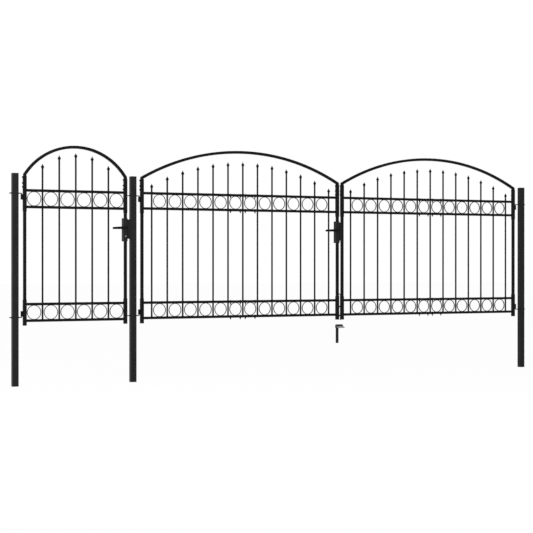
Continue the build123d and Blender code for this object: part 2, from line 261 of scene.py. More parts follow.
def turned_nickel(name, dark, pale):
    """Satin nickel with fine turning lines across its face."""
    material, wire = start_finish(name)
    inputs = {"Vector": place_on_piece(wire), "Scale": (40, 40, 900)}
    stretched = wire.add("ShaderNodeMapping", None, inputs)
    lines = wire.add("ShaderNodeTexNoise", None, {"Vector": stretched, "Scale": 2, "Detail": 3})
    tarnish = stepped(wire, speckle(wire, scale=120, detail=5, roughness=0.7), low=0.45, high=0.8)
    inputs = {
        "Base Color": blend_greys(wire, tarnish, pale, dark),
        "Metallic": 1.0,
        "Roughness": 0.26 + 0.14 * lines + 0.12 * tarnish,
        "Normal": bumped(wire, lines, strength=0.15, distance=0.0002),
    }
    end_finish(wire, wire.add("ShaderNodeBsdfPrincipled", None, inputs))
    return material


def spangled_zinc(name, dark, pale):
    """Hot-dipped zinc: large dull spangles with soft edges."""
    material, wire = start_finish(name)
    inputs = {"Vector": place_on_piece(wire), "Scale": 140}
    spangle = wire.add("ShaderNodeTexVoronoi", {"feature": "SMOOTH_F1"}, inputs, "Distance")
    bloom = speckle(wire, scale=90, detail=5, roughness=0.65)
    shade = stepped(wire, spangle * 0.6 + bloom * 0.6, low=0.3, high=0.9)
    inputs = {
        "Base Color": blend_greys(wire, shade, dark, pale),
        "Metallic": 0.55,
        "Roughness": 0.5 + 0.2 * bloom - 0.1 * spangle,
        "Normal": bumped(wire, spangle + bloom, strength=0.2, distance=0.0003),
    }
    end_finish(wire, wire.add("ShaderNodeBsdfPrincipled", None, inputs))
    return material


# Finishes by slot, and a darker copy of the same black powder coat for the thin bars: painted shade, so that
# they read darker than the posts
finishes = {
    "black_powder_coat": coated_steel(
        "black_powder_coat", dark=0.010, pale=0.022, base_roughness=0.5, peel_strength=0.22, gloss=0.10
    ),
    # The thin bars' coat: the same black powder coat made darker, as painted shade
    "bar_coat_with_painted_shade": coated_steel(
        "bar_coat_with_painted_shade", dark=0.004, pale=0.011, base_roughness=0.45, peel_strength=0.26, gloss=0.07
    ),
    "lever_black": coated_steel(
        "lever_black", dark=0.003, pale=0.009, base_roughness=0.46, peel_strength=0.12, gloss=0.08
    ),
    "black_plastic": moulded_plastic("black_plastic", dark=0.008, pale=0.018),
    "dark_steel": plated_steel("dark_steel", dark=0.03, pale=0.11, base_roughness=0.36),
    "key_cylinder_metal": turned_nickel("key_cylinder_metal", dark=0.16, pale=0.36),
    "bare_zinc": spangled_zinc("bare_zinc", dark=0.28, pale=0.44),
}


# Mesh building
def skin(mesh, rows, looped=False):
    """Skins rows of equally many points, closed round each row, and looped back or capped at both ends."""
    made = [[mesh.verts.new(point) for point in row] for row in rows]
    pairs = list(zip(made, made[1:]))
    if looped:
        pairs.append((made[-1], made[0]))
    for near, far in pairs:
        for step in range(len(near)):
            after = (step + 1) % len(near)
            mesh.faces.new((near[step], near[after], far[after], far[step]))
    if not looped:
        mesh.faces.new(made[0])
        mesh.faces.new(made[-1])


def rounded_box_outline(width, height, corner):
    """A rectangle with rounded corners, about its middle."""
    points = []
    for quarter, (side_x, side_y) in enumerate(((1, 1), (-1, 1), (-1, -1), (1, -1))):
        for step in range(corner_steps + 1):
            turn = math.pi / 2 * (quarter + step / corner_steps)
            x = side_x * (width / 2 - corner) + corner * math.cos(turn)
            y = side_y * (height / 2 - corner) + corner * math.sin(turn)
            points.append((x, y))
    return points


def ellipse_outline(width, height, steps=round_steps):
    """An ellipse about its middle."""
    turns = [2 * math.pi * step / steps for step in range(steps)]
    return [(width / 2 * math.cos(turn), height / 2 * math.sin(turn)) for turn in turns]


def bore_outline(diameter):
    """A circle whose points pair with those of a rounded box."""
    count = 4 * (corner_steps + 1)
    turns = [2 * math.pi * (step + 0.5) / count for step in range(count)]
    return [(diameter / 2 * math.cos(turn), diameter / 2 * math.sin(turn)) for turn in turns]


def slot_outline(width, height):
    """A narrow slot whose points pair with those of an ellipse."""
    points = []
    for x, y in ellipse_outline(2, 2):
        across = math.copysign(abs(x) ** slot_squareness, x)
        up = math.copysign(abs(y) ** slot_squareness, y)
        points.append((across * width / 2, up * height / 2))
    return points


def laid(outline, middle, across, up):
    """An outline set in space: its own x along across and its own y along up."""
    return [middle + across * x + up * y for x, y in outline]


def turned(mesh, start, axis, across, profile, steps=round_steps, looped=False):
    """A turned form: rows of distance along an axis and radius there."""
    up = axis.cross(across)
    rows = [
        laid(ellipse_outline(2 * radius, 2 * radius, steps), start + axis * distance, across, up)
        for distance, radius in profile
    ]
    skin(mesh, rows, looped)


def ease_creases(mesh, ease):
    """Eases every sharp edge of what the mesh holds so far."""
    bmesh.ops.recalc_face_normals(mesh, faces=mesh.faces[:])
    sharp = [edge for edge in mesh.edges if edge.calc_face_angle(0) > crease_angle]
    bmesh.ops.bevel(mesh, geom=sharp, offset=ease, segments=2, profile=0.5, affect="EDGES")


def finish_piece(name, mesh, body, slot, nodes=(), finish=None):
    """Makes the built mesh a piece that rides on a body and stands for its nodes."""
    bmesh.ops.recalc_face_normals(mesh, faces=mesh.faces[:])
    data = bpy.data.meshes.new(name)
    mesh.to_mesh(data)
    mesh.free()
    data.polygons.foreach_set("use_smooth", [True] * len(data.polygons))
    data.set_sharp_from_angle(angle=smooth_angle)
    data.materials.append(finishes[finish or slot])
    piece = bpy.data.objects.new(name, data)
    bpy.context.scene.collection.objects.link(piece)
    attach(piece, body)
    if nodes:
        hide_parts(*nodes)


def finish_bars(leaf, what, mesh, *nodes):
    """Makes a leaf's bars, tubes or bolts a piece in the darker copy of the powder coat, which paints shade
    onto them.
    """
    finish_piece(f"{leaf.name}_{what}", mesh, leaf.name, "black_powder_coat", nodes, "bar_coat_with_painted_shade")


def middle_of(node):
    low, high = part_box(node)
    return (low + high) / 2


class Leaf:
    """One leaf's places, read from its solids."""

    def __init__(self, name, free_stile, picket_count, spear_drop, bolt_tails):
        self.name = name
        self.hinge_bolt_tail, self.free_bolt_tail = bolt_tails
        self.free_stile = f"{name}_{free_stile}"
        self.hinge_x = middle_of(f"{name}_hinge_stile").x
        self.free_x = middle_of(self.free_stile).x
        self.reach = math.copysign(1, self.free_x - self.hinge_x)
        self.middle_x = (self.hinge_x + self.free_x) / 2
        self.half_width = abs(self.free_x - self.hinge_x) / 2
        self.foot_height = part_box(f"{name}_hinge_stile")[0].z
        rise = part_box(f"{name}_arch")[1].z - stile_side / 2 - arch_spring_height
        self.arch_radius = (self.half_width**2 + rise**2) / (2 * rise)
        self.arch_centre_height = arch_spring_height + rise - self.arch_radius
        self.spear_drop = spear_drop
        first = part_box(f"{name}_pickets")[0].x + spear_width / 2
        self.pickets = [first + picket_pitch * step for step in range(picket_count)]

    def node(self, part):
        return f"{self.name}_{part}"


# How far the spear tips stay under the arch, and how far the sleeve bolts' ends stand out at the two stiles
wicket = Leaf("wicket", "lock_stile", picket_count=5, spear_drop=0.050, bolt_tails=(0.0085, 0.0098))
left_leaf = Leaf("left_leaf", "lock_stile", picket_count=13, spear_drop=0.085, bolt_tails=(0.0095, 0.0075))
right_leaf = Leaf(
    "right_leaf", "meeting_stile", picket_count=13, spear_drop=0.085, bolt_tails=(0.0075, 0.0075)
)
leaves = (wicket, left_leaf, right_leaf)


# Frames
def frame_line(leaf):
    """The middle line of the bent frame: up one stile, over the arch and down the other."""
    left_x = leaf.middle_x - leaf.half_width
    right_x = leaf.middle_x + leaf.half_width
    reach = math.asin(leaf.half_width / leaf.arch_radius)
    line = [Vector((left_x, 0, leaf.foot_height))]
    for step in range(arch_steps + 1):
        turn = -reach + 2 * reach * step / arch_steps
        x = leaf.middle_x + leaf.arch_radius * math.sin(turn)
        line.append(Vector((x, 0, leaf.arch_centre_height + leaf.arch_radius * math.cos(turn))))
    line.append(Vector((right_x, 0, leaf.foot_height)))
    return line


def swept_tube(mesh, line, outline):
    """A tube along a line in the plane of the gate, mitred at each of its points."""
    rows = []
    for place, point in enumerate(line):
        before = (point - line[place - 1]).normalized() if place else None
        after = (line[place + 1] - point).normalized() if place + 1 < len(line) else None
        heading = ((before or after) + (after or before)).normalized()
        side = heading.cross(along_y)
        stretch = 1 / heading.dot(before or after)
        rows.append(laid(outline, point, side * stretch, along_y))
    skin(mesh, rows)


def leaf_frame(leaf):
    """The bent tube of a leaf's stiles and arch."""
    mesh = bmesh.new()
    swept_tube(mesh, frame_line(leaf), rounded_box_outline(stile_side, stile_side, stile_corner))
    finish_bars(leaf, "bent_frame", mesh, leaf.node("hinge_stile"), leaf.node("arch"), leaf.free_stile)


def leaf_sleeves(leaf):
    """The square sleeves over both stiles, low and high."""
    mesh = bmesh.new()
    low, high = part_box(leaf.node("sleeves"))
    side = stile_side + 2 * sleeve_wall
    inner = rounded_box_outline(stile_side, stile_side, stile_corner)
    outer = rounded_box_outline(side, side, sleeve_corner)
    eased_side = side - 2 * small_ease
    eased = rounded_box_outline(eased_side, eased_side, sleeve_corner - small_ease)
    lower = (low.z, low.z + lower_sleeve_length)
    upper = (high.z - upper_sleeve_length, high.z)
    for x in (leaf.hinge_x, leaf.free_x):
        for foot, top in (lower, upper):
            lower_edge = ((inner, foot), (eased, foot), (outer, foot + small_ease))
            upper_edge = ((outer, top - small_ease), (eased, top), (inner, top))
            stack = (*lower_edge, *upper_edge)
            rows = [laid(outline, Vector((x, 0, z)), along_x, along_y) for outline, z in stack]
            skin(mesh, rows, looped=True)
    finish_bars(leaf, "square_sleeves", mesh, leaf.node("sleeves"))


# Grilles
ring_sink = 0.0032
weld_width = 0.004
weld_rows = 9
weld_ripple = 0.16
weld_bluntness = 0.08
weld_fullness = 0.6
rail_weld_share = 0.42
ring_weld_width = 0.8 * weld_width
ring_weld_half_length = 0.009
ring_weld_sink = 0.0008


def weld_run(mesh, start, end, width):
    """A short rippled weld bead between two points."""
    heading = (end - start).normalized()
    side = heading.cross(along_y).normalized()
    length = (end - start).length
    rows = []
    for step in range(weld_rows):
        share = step / (weld_rows - 1)
        turn = math.pi * (weld_bluntness + (1 - 2 * weld_bluntness) * share)
        swell = math.sin(turn) ** weld_fullness * (1 + weld_ripple * (step % 2))
        outline = ellipse_outline(width * swell, width * swell, weld_steps)
        rows.append(laid(outline, start + heading * length * share, side, along_y))
    skin(mesh, rows)


def flat_ring(mesh, middle, radius):
    """A ring of flat strip with eased edges."""
    outline = rounded_box_outline(ring_wall, ring_depth, small_ease)
    rows = []
    for step in range(ring_steps):
        turn = 2 * math.pi * step / ring_steps
        outward = Vector((math.cos(turn), 0, math.sin(turn)))
        rows.append(laid(outline, middle + outward * (radius - ring_wall / 2), outward, along_y))
    skin(mesh, rows, looped=True)


def rail_with_welds(mesh, near_end, far_end):
    """A rail between the sleeves, with a weld on both faces of each end."""
    outline = rounded_box_outline(rail_side, rail_side, rail_corner)
    skin(mesh, [laid(outline, end, along_y, along_z) for end in (near_end, far_end)])
    half_run = along_z * rail_side * rail_weld_share
    for end in (near_end, far_end):
        for side in (-1, 1):
            face = end + along_y * side * rail_side / 2
            weld_run(mesh, face - half_run, face + half_run, weld_width)


def ring_with_welds(mesh, middle, radius):
    """A ring that is let into the rails above and below it, and welded there on both faces."""
    flat_ring(mesh, middle, radius + ring_sink)
    half_run = along_x * ring_weld_half_length
    for side in (-1, 1):
        touch = middle + along_z * side * (radius - ring_weld_sink)
        for face in (-1, 1):
            seam = touch + along_y * face * ring_depth / 2
            weld_run(mesh, seam - half_run, seam + half_run, ring_weld_width)


def grille_band(leaf, part):
    """Two rails with a ring in each bay that is wide enough, and the weld beads that hold them."""
    mesh = bmesh.new()
    low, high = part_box(leaf.node(part))
    heights = (low.z + rail_side / 2, high.z - rail_side / 2)
    for z in heights:
        rail_with_welds(mesh, Vector((low.x, 0, z)), Vector((high.x, 0, z)))
    radius = (heights[1] - heights[0] - rail_side) / 2
    middle_z = (heights[0] + heights[1]) / 2
    places = [(near + far) / 2 for near, far in zip(leaf.pickets, leaf.pickets[1:])]
    end_bay = leaf.pickets[0] - picket_diameter / 2 - low.x
    if end_bay > 2 * radius:
        places = [leaf.pickets[0] - picket_pitch / 2, *places, leaf.pickets[-1] + picket_pitch / 2]
    for x in places:
        ring_with_welds(mesh, Vector((x, 0, middle_z)), radius)
    finish_bars(leaf, f"ringed_{part}", mesh, leaf.node(part))


# A spearhead's rows, from its tip down: depth under the tip, then shares of its width and thickness
spear_rows = (
    (0.000, 0.08, 0.08),
    (0.0015, 0.15, 0.16),
    (0.005, 0.24, 0.30),
    (0.010, 0.36, 0.46),
    (0.0145, 0.54, 0.64),
    (0.0185, 0.80, 0.84),
    (0.0215, 0.95, 0.95),
    (0.0245, 1.00, 1.00),
    (0.0280, 1.00, 1.00),
    (0.0305, 0.92, 1.00),
    (0.034, 0.72, 1.00),
    (0.038, 0.59, 1.00),
    (0.042, 0.5357, 1.00),
)

# The weld collar round a picket on a rail: height over the rail and radius
collar_rows = ((-0.0002, 0.0070), (0, 0.0094), (0.0010, 0.0090), (0.0022, 0.0077), (0.0024, 0.0070))


def spear_picket(mesh, leaf, x, foot, rail_tops):
    """A round picket from the bottom rail up to its forged point, which follows the arch."""
    spear_radius = leaf.arch_radius - leaf.spear_drop
    tip = leaf.arch_centre_height + math.sqrt(spear_radius**2 - (x - leaf.middle_x) ** 2)
    rows = []
    for depth, wide, thick in spear_rows:
        outline = ellipse_outline(spear_width * wide, spear_thickness * thick)
        rows.append(laid(outline, Vector((x, 0, tip - depth)), along_x, along_y))
    bar = ellipse_outline(picket_diameter, picket_diameter)
    rows.append(laid(bar, Vector((x, 0, foot)), along_x, along_y))
    skin(mesh, rows)
    for z in rail_tops:
        turned(mesh, Vector((x, 0, z)), along_z, along_x, collar_rows, looped=True)


def leaf_pickets(leaf):
    """All pickets of a leaf, each welded where it stands on a rail."""
    mesh = bmesh.new()
    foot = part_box(leaf.node("pickets"))[0].z
    tops = []
    for part in ("bottom_band", "top_band"):
        low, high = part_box(leaf.node(part))
        tops += [low.z + rail_side, high.z]
    for x in leaf.pickets:
        spear_picket(mesh, leaf, x, foot, tops)
    finish_bars(leaf, "spear_pickets", mesh, leaf.node("pickets"))


# Hinges
thread_pitch = 0.00125
thread_depth = 0.0006
thread_rows = 4
thread_start = 0.003
thread_end = 0.004
tail_ease = 0.0012
tail_ease_length = 0.0015
plain_end = 0.012
washer_rows = ((0, 0.0076), (0.0004, 0.0080), (0.0012, 0.0080), (0.0016, 0.0076))
nut_thickness = 0.0065
nut_flats = 0.013
nut_chamfer = 0.0010
bend_steps = 10
pin_bore_gap = 0.0003
barrel_weld_width = 1.25 * weld_width
barrel_weld_sink = 0.0012
barrel_weld_spread = 0.0042
barrel_weld_inset = 0.003


def threaded_hook(mesh, tail, reach, pin_x, pin_end):
    """A threaded rod whose plain end is bent into the hinge's pin."""
    axis = along_x * reach
    bend_start = abs(pin_x - tail.x) - hook_bend_radius
    threaded = bend_start - plain_end
    rows = []
    count = int(threaded / thread_pitch * thread_rows)
    for step in range(count + 1):
        distance = threaded * step / count
        ease = min(1.0, distance / thread_start, (threaded - distance) / thread_end)
        tip_ease = tail_ease * max(0.0, 1 - distance / tail_ease_length)
        row = []
        for turn_step in range(round_steps):
            turn = 2 * math.pi * turn_step / round_steps
            phase = (distance / thread_pitch - turn_step / round_steps) % 1
            groove = thread_depth * abs(2 * phase - 1) * ease
            spoke = along_y * math.cos(turn) + along_z * math.sin(turn)
            row.append(tail + axis * distance + spoke * (hook_diameter / 2 - groove - tip_ease))
        rows.append(row)
    circle = ellipse_outline(hook_diameter, hook_diameter)
    rows.append(laid(circle, tail + axis * bend_start, along_y, along_z))
    up = 1 if pin_end > tail.z else -1
    centre = tail + axis * bend_start + along_z * up * hook_bend_radius
    for step in range(1, bend_steps + 1):
        turn = math.pi / 2 * step / bend_steps
        outward = axis * math.sin(turn) - along_z * up * math.cos(turn)
        rows.append(laid(circle, centre + outward * hook_bend_radius, along_y, -outward * up))
    end = Vector((pin_x, 0, pin_end))
    rows.append(laid(circle, end - along_z * up * plate_ease, along_y, -axis * up))
    small = ellipse_outline(hook_diameter - 2 * plate_ease, hook_diameter - 2 * plate_ease)
    rows.append(laid(small, end, along_y, -axis * up))
    skin(mesh, rows)


def hex_nut(mesh, seat, axis, across):
    """A chamfered six-sided nut that sits on a seat and faces along an axis."""
    up = axis.cross(across)
    corner = nut_flats / math.sqrt(3)
    rows = []
    levels = (0, nut_chamfer, nut_thickness - nut_chamfer, nut_thickness)
    for distance, trim in zip(levels, (nut_chamfer, 0, 0, nut_chamfer)):
        row = []
        for step in range(nut_steps):
            turn = 2 * math.pi * step / nut_steps
            flat = nut_flats / 2 / math.cos((turn % (math.pi / 3)) - math.pi / 6)
            radius = min(flat, corner - trim)
            spoke = across * math.cos(turn) + up * math.sin(turn)
            row.append(seat + axis * distance + spoke * radius)
        rows.append(row)
    skin(mesh, rows)


def hinge_hooks(leaf):
    """A leaf's two hooks, each held on its post by a washer and a nut at both faces."""
    mesh = bmesh.new()
    low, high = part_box(leaf.node("hinge_hooks"))
    tail_x = low.x if leaf.reach > 0 else high.x
    barrel_low, barrel_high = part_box(leaf.node("hinge_barrels"))
    pin_x = (barrel_low.x + barrel_high.x) / 2
    posts = [middle_of(f"{side}_post").x for side in ("left", "middle", "right")]
    post_x = min(posts, key=lambda x: abs(x - tail_x))
    lower = (low.z + hook_diameter / 2, barrel_low.z + barrel_length - pin_end_gap)
    upper = (high.z - hook_diameter / 2, barrel_high.z - barrel_length + pin_end_gap)
    for rod_height, pin_end in (lower, upper):
        threaded_hook(mesh, Vector((tail_x, 0, rod_height)), leaf.reach, pin_x, pin_end)
        for side in (-1, 1):
            axis = along_x * side
            face = Vector((post_x + side * post_side / 2, 0, rod_height))
            turned(mesh, face, axis, along_y, washer_rows, rod_steps)
            hex_nut(mesh, face + axis * washer_rows[-1][0], axis, along_y)
    nodes = (leaf.node("hinge_hooks"),)
    finish_piece(f"{leaf.name}_threaded_hooks", mesh, "frame", "dark_steel", nodes)


def hinge_barrels(leaf):
    """Two short tubes with eased ends, welded to the hinge stile's sleeves."""
    mesh = bmesh.new()
    low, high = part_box(leaf.node("hinge_barrels"))
    outer = (high.x - low.x) / 2
    bore = hook_diameter / 2 + pin_bore_gap
    mouth = bore + small_ease
    profile = (
        (0, mouth),
        (0, outer - plate_ease),
        (plate_ease, outer),
        (barrel_length - plate_ease, outer),
        (barrel_length, outer - plate_ease),
        (barrel_length, mouth),
        (barrel_length - small_ease, bore),
        (small_ease, bore),
    )
    pin_x = (low.x + high.x) / 2
    for foot in (low.z, high.z - barrel_length):
        turned(mesh, Vector((pin_x, 0, foot)), along_z, along_x, profile, tube_steps, looped=True)
        seam_x = pin_x + leaf.reach * (outer - barrel_weld_sink)
        for side in (-1, 1):
            seam = Vector((seam_x, side * barrel_weld_spread, foot))
            start = seam + along_z * barrel_weld_inset
            end = seam + along_z * (barrel_length - barrel_weld_inset)
            weld_run(mesh, start, end, barrel_weld_width)
    finish_bars(leaf, "hinge_tubes", mesh, leaf.node("hinge_barrels"))


# Bolts: a domed head's height over its seat and radius, the thread, and the bolts' places
bolt_head_rows = (
    (-0.0003, 0.0070),
    (0, 0.0074),
    (0.0006, 0.0073),
    (0.0015, 0.0060),
    (0.0021, 0.0038),
    (0.0023, 0.0014),
)
bolt_radius = 0.0040
bolt_thread_root = 0.0034
joint_bolt_places = (-0.1195, -0.0245, 0.0245, 0.1195)
joint_bolt_tail = 0.0155
sleeve_bolt_heights = (1.638, 1.670, 1.718)


def through_bolt(mesh, nut_seat, head_seat, across, tail_length):
    """A dome-headed bolt through a bar, with a nut on the other side and its thread's end beyond that."""
    axis = (nut_seat - head_seat).normalized()
    turned(mesh, head_seat, -axis, across, bolt_head_rows)
    hex_nut(mesh, nut_seat, axis, across)
    tail = []
    distance = nut_thickness - thread_pitch
    while distance < tail_length - thread_pitch:
        tail += [(distance, bolt_thread_root), (distance + thread_pitch / 2, bolt_radius)]
        distance += thread_pitch
    tail.append((tail_length, bolt_thread_root))
    turned(mesh, nut_seat, axis, across, tail)


def rail_joints(leaf):
    """The bolts down through a driveway leaf's four rails, on both sides of its middle picket."""
    mesh = bmesh.new()
    middle_x = leaf.pickets[len(leaf.pickets) // 2]
    half = along_z * rail_side / 2
    for part in ("top_band", "bottom_band"):
        low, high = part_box(leaf.node(part))
        for z in (low.z + rail_side / 2, high.z - rail_side / 2):
            for place in joint_bolt_places:
                rail = Vector((middle_x + place, 0, z))
                through_bolt(mesh, rail - half, rail + half, along_x, joint_bolt_tail)
    finish_bars(leaf, "rail_joint_bolts", mesh)


def sleeve_bolts(leaf):
    """Three bolts through each upper sleeve, all with their nuts to the left."""
    mesh = bmesh.new()
    half = along_x * (stile_side / 2 + sleeve_wall)
    for x, tail in ((leaf.hinge_x, leaf.hinge_bolt_tail), (leaf.free_x, leaf.free_bolt_tail)):
        for height in sleeve_bolt_heights:
            sleeve = Vector((x, 0, height))
            through_bolt(mesh, sleeve - half, sleeve + half, along_y, tail)
    finish_bars(leaf, "sleeve_bolts", mesh)


# Small screws: height over the seat and radius, ending in the drive's recess
screw_rows = (
    (-0.0005, 0.0036),
    (0.0004, 0.0037),
    (0.0012, 0.0033),
    (0.0019, 0.0024),
    (0.0021, 0.0016),
    (0.0012, 0.0012),
)
cover_screw_rows = ((-0.0005, 0.0029), (0.0002, 0.0030), (0.0007, 0.0026), (0.0009, 0.0014), (0.0003, 0.0011))

# Locks: a rose's and a lever neck's height over the case and radius, and the turns of a lever's rounded ends
case_corner = 0.003
cover_depth = 0.0065
seam_depth = 0.0005
seam_half_width = 0.0004
cover_screw_inset = Vector((0.0065, 0, 0.009))
rose_rows = ((0, 0.0103), (0, 0.0142), (0.0012, 0.0142), (0.0022, 0.0132), (0.0026, 0.0116), (0.0026, 0.0103))
neck_rows = ((0.0004, 0.0100), (0.0030, 0.0100), (0.0042, 0.0086), (0.0090, 0.0086), (0.0120, 0.0096))
lever_corner = 0.0030
lever_corner_share = 0.48
lever_steps = 6
lever_heel_turns = (0.12, 0.35, 0.65, 1.0, 1.3)
lever_tip_turns = (0.3, 0.6, 0.9, 1.2, 1.45)


def lock_case(leaf):
    """The lock's case with eased edges, and a seam where each cover plate meets it."""
    mesh = bmesh.new()
    low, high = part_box(leaf.node("lock_case"))
    size = high - low
    stack = [(0, plate_ease), (plate_ease, 0)]
    for seam in (cover_depth, size.y - cover_depth):
        for offset, sink in ((-seam_half_width, 0), (0, seam_depth), (seam_half_width, 0)):
            stack.append((seam + offset, sink))
    stack += [(size.y - plate_ease, 0), (size.y, plate_ease)]
    middle = Vector(((low.x + high.x) / 2, low.y, (low.z + high.z) / 2))
    rows = []
    for depth, sink in stack:
        outline = rounded_box_outline(size.x - 2 * sink, size.z - 2 * sink, case_corner - sink)
        rows.append(laid(outline, middle + along_y * depth, along_x, along_z))
    skin(mesh, rows)
    nodes = (leaf.node("lock_case"),)
    finish_piece(f"{leaf.name}_covered_lock_case", mesh, leaf.name, "black_powder_coat", nodes)


def lock_trim(leaf):
    """On each face of the lock case: a rose round the spindle and four cover screws."""
    mesh = bmesh.new()
    low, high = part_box(leaf.node("lock_case"))
    for face_y, outward in ((low.y, -along_y), (high.y, along_y)):
        spindle = Vector(((low.x + high.x) / 2, face_y, spindle_height))
        turned(mesh, spindle, outward, along_x, rose_rows, tube_steps, looped=True)
        for x in (low.x + cover_screw_inset.x, high.x - cover_screw_inset.x):
            for z in (low.z + cover_screw_inset.z, high.z - cover_screw_inset.z):
                turned(mesh, Vector((x, face_y, z)), outward, along_x, cover_screw_rows, screw_steps)
    finish_piece(f"{leaf.name}_lock_rose_and_screws", mesh, leaf.name, "dark_steel")


# A key cylinder's end from the keyway out: depth under its face and radius
cylinder_rows = ((0, 0.0050), (0.0003, 0.0052), (0.0003, 0.0055), (0, 0.0057), (0, 0.0068), (0.0007, 0.0075))
keyway = (0.0018, 0.0078)
keyway_depth = 0.004


def key_cylinder(leaf, slot):
    """A key cylinder with a plug and a keyway at both ends."""
    mesh = bmesh.new()
    low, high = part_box(leaf.node("key_cylinder"))
    middle = middle_of(leaf.node("key_cylinder"))
    rows = []
    for face_y, inward in ((low.y, 1), (high.y, -1)):
        end = []
        for depth in (keyway_depth, 0):
            place = Vector((middle.x, face_y + inward * depth, middle.z))
            end.append(laid(slot_outline(*keyway), place, along_x, along_z))
        for depth, radius in cylinder_rows:
            place = Vector((middle.x, face_y + inward * depth, middle.z))
            end.append(laid(ellipse_outline(2 * radius, 2 * radius), place, along_x, along_z))
        rows += end if inward > 0 else end[::-1]
    skin(mesh, rows)
    nodes = (leaf.node("key_cylinder"),)
    finish_piece(f"{leaf.name}_keyed_cylinder", mesh, leaf.name, slot, nodes)


def lever_line():
    """Rows along a lever's arm: distance from the spindle towards its tip, sag and height."""
    tip = lever_tip_height / 2
    straight = lever_length - tip
    rows = []
    for turn in lever_heel_turns:
        rows.append((-lever_neck_radius * math.cos(turn), lever_height * math.sin(turn)))
    for step in range(lever_steps + 1):
        share = step / lever_steps
        rows.append((straight * share, lever_height + (lever_tip_height - lever_height) * share))
    for turn in lever_tip_turns:
        rows.append((straight + tip * math.sin(turn), lever_tip_height * math.cos(turn)))
    return [(distance, lever_droop * max(0, distance / straight) ** 2, height) for distance, height in rows]


def lever_pair(leaf):
    """A lever on each face of the lock: a waisted neck and an arm with rounded edges."""
    mesh = bmesh.new()
    low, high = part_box(leaf.node("lock_case"))
    inward = -along_x * leaf.reach
    for face_y, outward in ((low.y, -along_y), (high.y, along_y)):
        spindle = Vector(((low.x + high.x) / 2, face_y, spindle_height))
        turned(mesh, spindle, outward, along_x, neck_rows, rod_steps)
        arm = spindle + outward * (lever_stand_off + lever_thickness / 2)
        rows = []
        for distance, sag, height in lever_line():
            corner = min(lever_corner, lever_corner_share * height)
            outline = rounded_box_outline(lever_thickness, height, corner)
            rows.append(laid(outline, arm + inward * distance - along_z * sag, along_y, along_z))
        skin(mesh, rows)
    body = f"{leaf.name}_lever"
    finish_piece(f"{leaf.name}_lever_pair", mesh, body, "lever_black", (leaf.node("lever"),))


# Keepers
strike_slot = (0.018, 0.113)
strike_slot_depth = 0.012
keeper_corner = 0.002
keeper_screw_inset = 0.012


def keeper(node, body):
    """A keeper block with eased edges and a slot for the latch in its left face."""
    mesh = bmesh.new()
    low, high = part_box(node)
    size = high - low
    middle = (low + high) / 2
    full = rounded_box_outline(size.y, size.z, keeper_corner)
    eased = rounded_box_outline(size.y - 2 * plate_ease, size.z - 2 * plate_ease, keeper_corner - plate_ease)
    slot = rounded_box_outline(*strike_slot, keeper_corner)
    stack = (
        (full, high.x),
        (full, low.x + plate_ease),
        (eased, low.x),
        (slot, low.x),
        (slot, low.x + strike_slot_depth),
    )
    rows = [laid(outline, Vector((x, middle.y, middle.z)), along_y, along_z) for outline, x in stack]
    skin(mesh, rows)
    for face_y, away in ((low.y, -along_y), (high.y, along_y)):
        for z in (low.z + keeper_screw_inset, high.z - keeper_screw_inset):
            turned(mesh, Vector((middle.x, face_y, z)), away, along_x, screw_rows, screw_steps)
    finish_piece(f"{node}_slotted_block", mesh, body, "black_powder_coat", (node,))


# Drop bolt: its foot and top, and a handle's end by distance from it and share of the handle's radius
bolt_bore_gap = 0.0006
guide_screw_spread = 0.0105
bolt_foot_taper = 0.004
bolt_foot_share = 0.6
bolt_top_ease = 0.001
bolt_top_share = 0.9
handle_end_rows = ((0, 0.55), (0.0012, 0.9), (0.003, 1), (0.007, 1), (0.010, 0.8), (0.014, 0.72))


def bolt_guides():
    """Two bored blocks on the back of the meeting stile, with eased edges and a fixing screw each side."""
    mesh = bmesh.new()
    low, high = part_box("drop_bolt_guides")
    bolt = middle_of("drop_bolt")
    size = high - low
    bore = bore_outline(bolt_diameter + bolt_bore_gap)
    full = rounded_box_outline(size.x, size.y, keeper_corner)
    eased = rounded_box_outline(size.x - 2 * plate_ease, size.y - 2 * plate_ease, keeper_corner - plate_ease)
    middle = (low + high) / 2
    for foot in (low.z, high.z - guide_length):
        top = foot + guide_length
        stack = ((eased, foot), (full, foot + plate_ease), (full, top - plate_ease), (eased, top))
        rows = [laid(outline, Vector((middle.x, middle.y, z)), along_x, along_y) for outline, z in stack]
        rows.append(laid(bore, Vector((bolt.x, bolt.y, top)), along_x, along_y))
        rows.append(laid(bore, Vector((bolt.x, bolt.y, foot)), along_x, along_y))
        skin(mesh, rows, looped=True)
        for side in (-1, 1):
            seat = Vector((middle.x + side * guide_screw_spread, high.y, foot + guide_length / 2))
            turned(mesh, seat, along_y, along_x, cover_screw_rows, screw_steps)
    finish_piece("drop_bolt_bored_guides", mesh, "right_leaf", "black_powder_coat", ("drop_bolt_guides",))


def drop_bolt():
    """The bolt's rod with a tapered foot, and a cross handle with swollen ends."""
    mesh = bmesh.new()
    low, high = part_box("drop_bolt")
    middle = (low + high) / 2
    radius = bolt_diameter / 2
    length = high.z - low.z - bolt_handle_diameter / 2
    rod = (
        (0, bolt_foot_share * radius),
        (bolt_foot_taper, radius),
        (length - bolt_top_ease, radius),
        (length, bolt_top_share * radius),
    )
    turned(mesh, Vector((middle.x, middle.y, low.z)), along_z, along_x, rod, rod_steps)
    handle_length = high.x - low.x
    grip = bolt_handle_diameter / 2
    near_half = [(distance, share * grip) for distance, share in handle_end_rows]
    far_half = [(handle_length - distance, size) for distance, size in reversed(near_half)]
    start = Vector((low.x, middle.y, high.z - grip))
    turned(mesh, start, along_x, along_y, near_half + far_half, rod_steps)
    finish_piece("drop_bolt_rod_and_handle", mesh, "drop_bolt", "black_powder_coat", ("drop_bolt",))


# Ground stop
stop_corner_steps = 5


